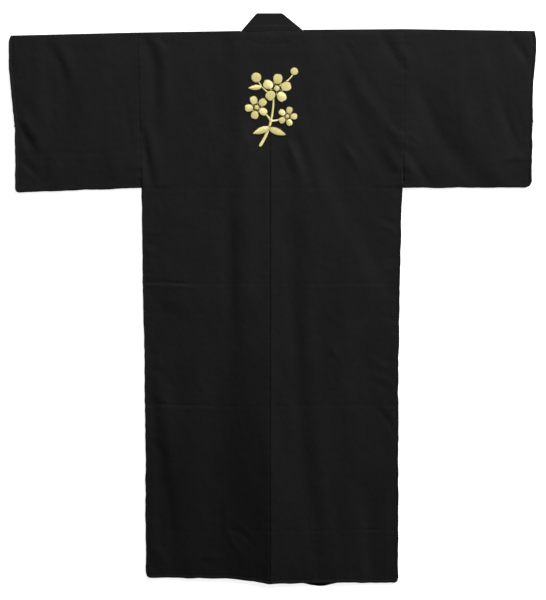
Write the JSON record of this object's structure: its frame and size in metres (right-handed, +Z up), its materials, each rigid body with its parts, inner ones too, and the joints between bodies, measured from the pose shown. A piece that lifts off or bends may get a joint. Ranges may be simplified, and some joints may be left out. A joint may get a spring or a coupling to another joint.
{
  "type": "kimono",
  "caption": "Plain kimono laid flat with its back upwards, sleeves straight out and fronts crossed beneath, with a satin-stitched blossom spray on the upper back.",
  "frame": {"origin": "on the surface that the garment lies on, under the middle of its outline", "axes": "+Y along the centre back seam from the hem to the collar, +X towards the wearer's right sleeve, +Z up from the surface, towards the side that the back of the garment shows"},
  "size_m": [1.359, 1.4776, 0.0088],
  "materials": {
    "black_cotton": "matt black plain-woven cotton with a faint slub",
    "gold_thread": "shiny gold embroidery thread in satin stitch"
  },
  "bodies": {
    "root": {"body_left": "black_cotton", "body_right": "black_cotton", "overlap_left": "black_cotton", "overlap_right": "black_cotton", "sleeve_left": "black_cotton", "sleeve_right": "black_cotton", "collar": "black_cotton", "neck_crescent": "black_cotton", "blossom_spray": "gold_thread"}
  },
  "joints": []
}
